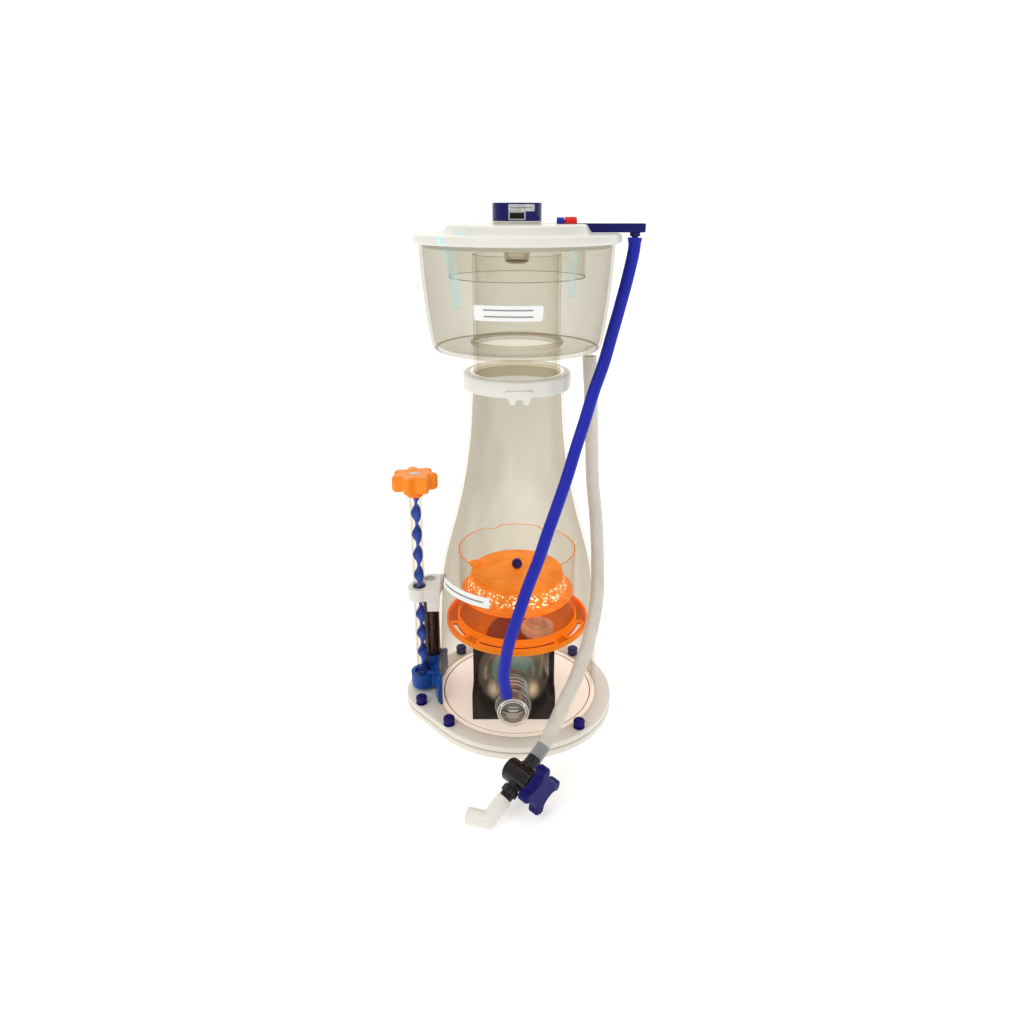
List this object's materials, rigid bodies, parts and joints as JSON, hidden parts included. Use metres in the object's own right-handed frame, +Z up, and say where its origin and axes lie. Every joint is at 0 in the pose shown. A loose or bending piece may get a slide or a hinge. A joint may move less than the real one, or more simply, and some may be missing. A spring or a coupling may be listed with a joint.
{
  "type": "protein skimmer",
  "caption": "Clear cone-bodied aquarium foam fractionator with an internal needle-wheel pump, foam cup and lid, water outlet knob, air hose and drain hose with a valve.",
  "frame": {"origin": "centre of the round body at the underside of the base plate", "axes": "+Z up; the pump's intake faces -Y, the water outlet is on -X and the air arm on +X"},
  "size_m": [0.2513, 0.3119, 0.5455],
  "materials": {
    "plate_cream": "satin cream plastic plate",
    "gasket": "soft flat gasket",
    "screw_blue": "satin dark blue plastic",
    "clear_acrylic": "clear polished acrylic",
    "ring_white": "white plastic",
    "seal_cream": "cream rubber seal",
    "lid_cream": "cream plastic lid",
    "cap_blue": "dark blue plastic",
    "window_grey": "grey framed grille",
    "barrel_blue": "blue plastic",
    "dial_red": "red plastic dial",
    "volute_smoke": "smoky clear plastic",
    "pump_black": "black moulded plastic",
    "cradle_brown": "dark brown plastic",
    "impeller_teal": "teal plastic needle wheel",
    "magnet": "coated magnet",
    "shaft": "polished shaft",
    "orange_clear": "fluorescent orange acrylic",
    "knob_purple": "purple-blue plastic",
    "outlet_blue": "blue plastic housing",
    "riser_dark": "dark smoky tube",
    "bracket_white": "white plastic bracket",
    "spiral_blue": "blue twisted strip",
    "knob_orange": "orange plastic star knob",
    "air_hose": "blue silicone hose",
    "drain_hose": "milky flexible hose",
    "valve_black": "black plastic valve",
    "barb_grey": "grey plastic barb",
    "handle_blue": "dark blue plastic handle",
    "pipe_white": "white plastic pipe elbow"
  },
  "bodies": {
    "base": {"base_plate": "plate_cream", "base_gasket": "gasket", "body_flange": "plate_cream", "base_screw_1": "screw_blue", "base_screw_2": "screw_blue", "base_screw_3": "screw_blue", "base_screw_4": "screw_blue", "base_screw_5": "screw_blue", "body_shell": "clear_acrylic", "neck_seal": "seal_cream", "pump_volute": "volute_smoke", "pump_motor": "pump_black", "pump_cradle": "cradle_brown", "rotor_shaft": "shaft", "pump_intake": "clear_acrylic", "intake_seal": "clear_acrylic", "venturi_barb": "clear_acrylic", "pump_outlet_pipe": "clear_acrylic", "pump_outlet_nut": "clear_acrylic", "bubble_tray": "orange_clear", "bubble_cylinder": "clear_acrylic", "bubble_dome": "orange_clear", "dome_knob": "knob_purple", "outlet_valve_body": "outlet_blue", "outlet_riser": "riser_dark", "outlet_bracket": "bracket_white", "air_hose": "air_hose", "drain_hose": "drain_hose", "drain_valve_body": "valve_black", "drain_barb": "barb_grey", "drain_union_nut": "valve_black", "drain_elbow": "pipe_white"},
    "outlet_stem": {"star_knob": "knob_orange", "stem_tube": "clear_acrylic", "stem_spiral": "spiral_blue", "outlet_valve_plug": "outlet_blue"},
    "drain_handle": {"drain_valve_handle": "handle_blue", "drain_valve_plug": "ring_white"},
    "neck_lock": {"neck_lock_ring": "ring_white"},
    "cup": {"cup_bowl": "clear_acrylic", "cup_riser": "clear_acrylic", "cup_seat_ring": "clear_acrylic", "cup_drain_nipple": "clear_acrylic"},
    "lid": {"cup_lid": "lid_cream", "lid_skirt": "clear_acrylic", "air_arm": "cap_blue", "air_valve_barrel": "barrel_blue"},
    "vent": {"vent_cap": "cap_blue", "vent_window": "window_grey", "vent_cup": "clear_acrylic"},
    "air_dial": {"air_valve_dial": "dial_red"},
    "rotor": {"impeller": "impeller_teal", "rotor_magnet": "magnet"}
  },
  "joints": [
    {"name": "outlet_stem_turn", "type": "hinge", "parent": "base", "child": "outlet_stem", "pos_m": [-0.108, 0, 0.15], "axis": [0, 0, 1], "range_deg": [0, 180]},
    {"name": "drain_valve_turn", "type": "hinge", "parent": "base", "child": "drain_handle", "pos_m": [0.004, -0.1676, 0.032], "axis": [0.6947, -0.7193, 0], "range_deg": [0, 90]},
    {"name": "neck_lock_turn", "type": "hinge", "parent": "base", "child": "neck_lock", "pos_m": [0, 0, 0.378], "axis": [0, 0, 1], "range_deg": [0, 30]},
    {"name": "cup_lift", "type": "slide", "parent": "base", "child": "cup", "axis": [0, 0, 1], "range_m": [0, 0.08]},
    {"name": "lid_lift", "type": "slide", "parent": "cup", "child": "lid", "axis": [0, 0, 1], "range_m": [0, 0.06]},
    {"name": "vent_lift", "type": "slide", "parent": "lid", "child": "vent", "axis": [0, 0, 1], "range_m": [0, 0.045]},
    {"name": "air_dial_turn", "type": "hinge", "parent": "lid", "child": "air_dial", "pos_m": [0.05, 0, 0.5285], "axis": [1, 0, 0], "range_deg": [0, 270]},
    {"name": "impeller_spin", "type": "hinge", "parent": "base", "child": "rotor", "pos_m": [-0.004, 0, 0.0546], "axis": [0, 1, 0], "continuous": true}
  ]
}
